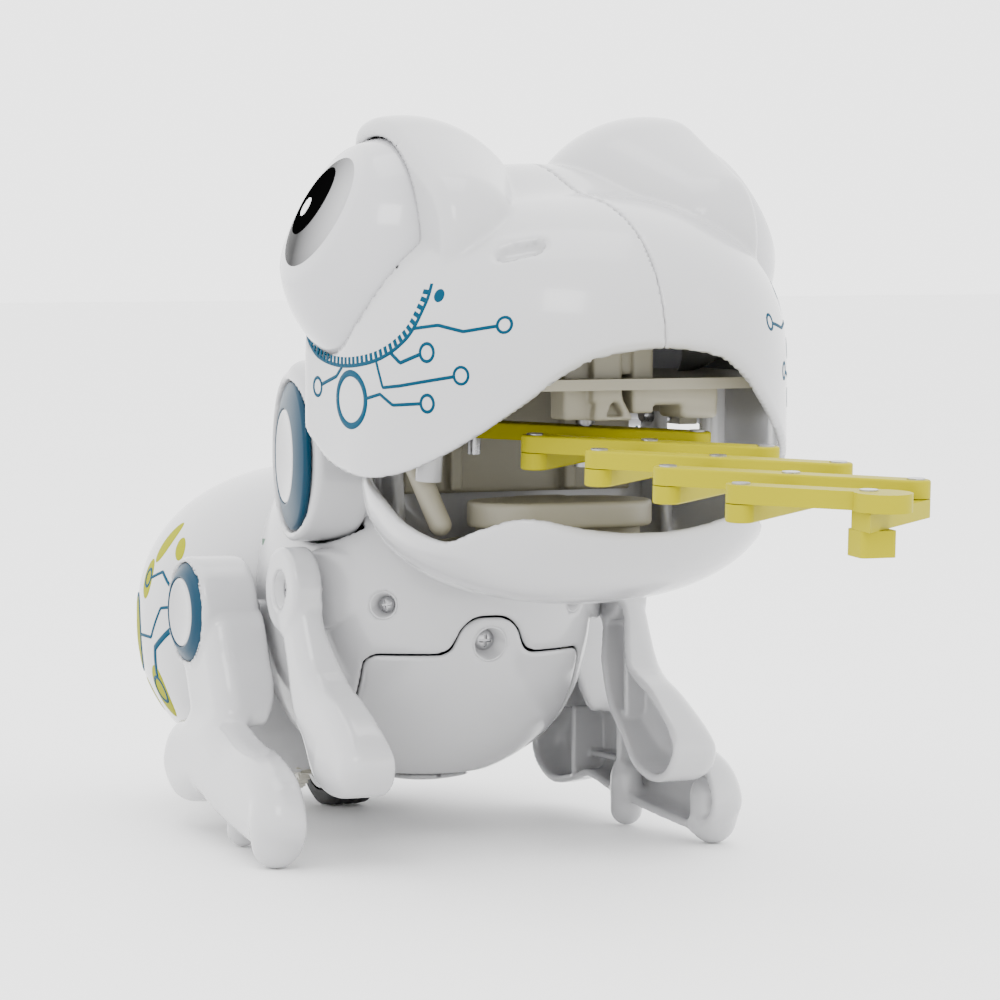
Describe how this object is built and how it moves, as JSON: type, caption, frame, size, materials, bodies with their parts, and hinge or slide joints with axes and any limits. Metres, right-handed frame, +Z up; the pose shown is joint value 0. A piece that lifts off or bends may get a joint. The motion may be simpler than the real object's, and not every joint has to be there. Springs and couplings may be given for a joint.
{
  "type": "toy lizard robot",
  "caption": "Toy lizard robot with swivelling domed eyes, a nodding head, a scissor tongue that shoots out, jointed limbs and one drive wheel.",
  "frame": {"origin": "on the ground under the middle of the robot's bounding box, tongue out", "axes": "+Z up, -Y the way the robot faces, +X to its left"},
  "size_m": [0.1256, 0.3584, 0.176],
  "materials": {
    "white_shell": "gloss",
    "cream_frame": "satin",
    "blue_ring": "gloss",
    "eye_white": "gloss",
    "pupil_black": "gloss",
    "lime_tongue": "satin",
    "steel": "satin",
    "rubber_black": "matte",
    "nylon_gear": "satin",
    "cell_jacket": "satin",
    "board_green": "satin",
    "speaker_black": "matte"
  },
  "bodies": {
    "torso": {"torso_shell": "white_shell", "rump_shell": "white_shell", "battery_door": "white_shell", "battery_cells": "cell_jacket", "battery_contacts": "steel", "battery_tray": "cream_frame", "neck_collar": "white_shell", "neck_shaft": "steel", "main_board": "board_green", "speaker": "speaker_black", "gearbox_frame": "cream_frame", "drive_motor": "steel", "shoulder_screws": "steel", "hip_pins": "steel"},
    "wheel": {"wheel_hub": "white_shell", "wheel_tyre": "rubber_black", "wheel_axle": "steel", "axle_gear": "nylon_gear"},
    "pinion": {"motor_pinion": "nylon_gear"},
    "switch": {"power_switch": "speaker_black"},
    "head": {"head_shell_right": "white_shell", "head_shell_left": "white_shell", "neck_drum_right": "white_shell", "neck_drum_left": "white_shell", "neck_cap_right": "blue_ring", "neck_cap_left": "blue_ring", "mouth_frame": "cream_frame", "tongue_post": "steel", "eye_crossbar": "cream_frame", "tongue_motor": "steel", "mouth_corner_rods": "white_shell", "jaw_pins": "steel"},
    "eye_right": {"eyeball_right": "eye_white", "pupil_right": "pupil_black"},
    "eye_left": {"eyeball_left": "eye_white", "pupil_left": "pupil_black"},
    "jaw": {"jaw_shell": "white_shell", "jaw_tray": "cream_frame"},
    "arm_right": {"arm_right": "white_shell"},
    "arm_left": {"arm_left": "white_shell"},
    "leg_right": {"leg_right": "white_shell", "hip_cap_right": "blue_ring"},
    "leg_left": {"leg_left": "white_shell", "hip_cap_left": "blue_ring"},
    "tongue_upper_0": {"tongue_bar_upper_0": "lime_tongue", "tongue_pins_0": "steel"},
    "tongue_lower_0": {"tongue_bar_lower_0": "lime_tongue"},
    "tongue_upper_1": {"tongue_bar_upper_1": "lime_tongue", "tongue_pins_1": "steel"},
    "tongue_lower_1": {"tongue_bar_lower_1": "lime_tongue"},
    "tongue_upper_2": {"tongue_bar_upper_2": "lime_tongue", "tongue_pins_2": "steel"},
    "tongue_lower_2": {"tongue_bar_lower_2": "lime_tongue"},
    "tongue_upper_3": {"tongue_bar_upper_3": "lime_tongue", "tongue_pins_3": "steel"},
    "tongue_lower_3": {"tongue_bar_lower_3": "lime_tongue"},
    "tongue_tip_upper": {"tongue_tip_upper": "lime_tongue", "tongue_pins_tip": "steel"},
    "tongue_tip_lower": {"tongue_tip_lower": "lime_tongue", "tongue_tip_block": "lime_tongue"}
  },
  "joints": [
    {"name": "head_nod", "type": "hinge", "parent": "torso", "child": "head", "pos_m": [0, 0.053, 0.095], "axis": [-1, 0, 0], "range_deg": [0, 12]},
    {"name": "eye_right_turn", "type": "hinge", "parent": "head", "child": "eye_right", "pos_m": [-0.036, 0.002, 0.145], "axis": [-0.8829, 0, 0.4695], "range_deg": [-60, 60]},
    {"name": "eye_left_turn", "type": "hinge", "parent": "head", "child": "eye_left", "pos_m": [0.036, 0.002, 0.145], "axis": [0.8829, 0, 0.4695], "range_deg": [-60, 60]},
    {"name": "jaw_close", "type": "hinge", "parent": "head", "child": "jaw", "pos_m": [0, 0.006, 0.106], "axis": [-1, 0, 0], "range_deg": [0, 4]},
    {"name": "tongue_retract", "type": "hinge", "parent": "head", "child": "tongue_upper_0", "pos_m": [0, -0.0295, 0.1013], "axis": [0, -0.0497, 0.9988], "range_deg": [0, 31.5]},
    {"name": "tongue_lower_0_turn", "type": "hinge", "parent": "head", "child": "tongue_lower_0", "pos_m": [0, -0.0295, 0.1013], "axis": [0, -0.0497, 0.9988], "range_deg": [-31.5, 0]},
    {"name": "tongue_upper_1_turn", "type": "hinge", "parent": "tongue_lower_0", "child": "tongue_upper_1", "pos_m": [-0.02001, -0.047, 0.10043], "axis": [0, -0.0497, 0.9988], "range_deg": [0, 63]},
    {"name": "tongue_lower_1_turn", "type": "hinge", "parent": "tongue_upper_0", "child": "tongue_lower_1", "pos_m": [0.02001, -0.047, 0.10043], "axis": [0, -0.0497, 0.9988], "range_deg": [-63, 0]},
    {"name": "tongue_upper_2_turn", "type": "hinge", "parent": "tongue_lower_1", "child": "tongue_upper_2", "pos_m": [-0.02001, -0.082, 0.09869], "axis": [0, -0.0497, 0.9988], "range_deg": [0, 63]},
    {"name": "tongue_lower_2_turn", "type": "hinge", "parent": "tongue_upper_1", "child": "tongue_lower_2", "pos_m": [0.02001, -0.082, 0.09869], "axis": [0, -0.0497, 0.9988], "range_deg": [-63, 0]},
    {"name": "tongue_upper_3_turn", "type": "hinge", "parent": "tongue_lower_2", "child": "tongue_upper_3", "pos_m": [-0.02001, -0.117, 0.09694], "axis": [0, -0.0497, 0.9988], "range_deg": [0, 63]},
    {"name": "tongue_lower_3_turn", "type": "hinge", "parent": "tongue_upper_2", "child": "tongue_lower_3", "pos_m": [0.02001, -0.117, 0.09694], "axis": [0, -0.0497, 0.9988], "range_deg": [-63, 0]},
    {"name": "tongue_tip_upper_turn", "type": "hinge", "parent": "tongue_lower_3", "child": "tongue_tip_upper", "pos_m": [-0.02001, -0.152, 0.0952], "axis": [0, -0.0497, 0.9988], "range_deg": [0, 63]},
    {"name": "tongue_tip_lower_turn", "type": "hinge", "parent": "tongue_upper_3", "child": "tongue_tip_lower", "pos_m": [0.02001, -0.152, 0.0952], "axis": [0, -0.0497, 0.9988], "range_deg": [-63, 0]},
    {"name": "arm_right_swing", "type": "hinge", "parent": "torso", "child": "arm_right", "pos_m": [-0.042, 0.046, 0.0633], "axis": [-1, 0, 0], "range_deg": [-10, 25]},
    {"name": "leg_right_swing", "type": "hinge", "parent": "torso", "child": "leg_right", "pos_m": [-0.05, 0.088, 0.055], "axis": [1, 0, 0], "range_deg": [0, 12]},
    {"name": "arm_left_swing", "type": "hinge", "parent": "torso", "child": "arm_left", "pos_m": [0.042, 0.046, 0.0633], "axis": [-1, 0, 0], "range_deg": [-10, 25]},
    {"name": "leg_left_swing", "type": "hinge", "parent": "torso", "child": "leg_left", "pos_m": [0.05, 0.088, 0.055], "axis": [1, 0, 0], "range_deg": [0, 12]},
    {"name": "wheel_spin", "type": "hinge", "parent": "torso", "child": "wheel", "pos_m": [0, 0.126, 0.016], "axis": [1, 0, 0], "continuous": true},
    {"name": "pinion_spin", "type": "hinge", "parent": "torso", "child": "pinion", "pos_m": [0, 0.12227, 0.02991], "axis": [1, 0, 0], "continuous": true},
    {"name": "switch_slide", "type": "slide", "parent": "torso", "child": "switch", "axis": [1, 0, 0], "range_m": [0, 0.004]}
  ],
  "couplings": [
    {"joint": "tongue_lower_0_turn", "follows": "tongue_retract", "ratio": -1},
    {"joint": "jaw_close", "follows": "tongue_retract", "ratio": 0.12},
    {"joint": "tongue_upper_1_turn", "follows": "tongue_retract", "ratio": 2},
    {"joint": "tongue_lower_1_turn", "follows": "tongue_retract", "ratio": -2},
    {"joint": "tongue_upper_2_turn", "follows": "tongue_retract", "ratio": 2},
    {"joint": "tongue_lower_2_turn", "follows": "tongue_retract", "ratio": -2},
    {"joint": "tongue_upper_3_turn", "follows": "tongue_retract", "ratio": 2},
    {"joint": "tongue_lower_3_turn", "follows": "tongue_retract", "ratio": -2},
    {"joint": "tongue_tip_upper_turn", "follows": "tongue_retract", "ratio": 2},
    {"joint": "tongue_tip_lower_turn", "follows": "tongue_retract", "ratio": -2},
    {"joint": "pinion_spin", "follows": "wheel_spin", "ratio": -3}
  ]
}
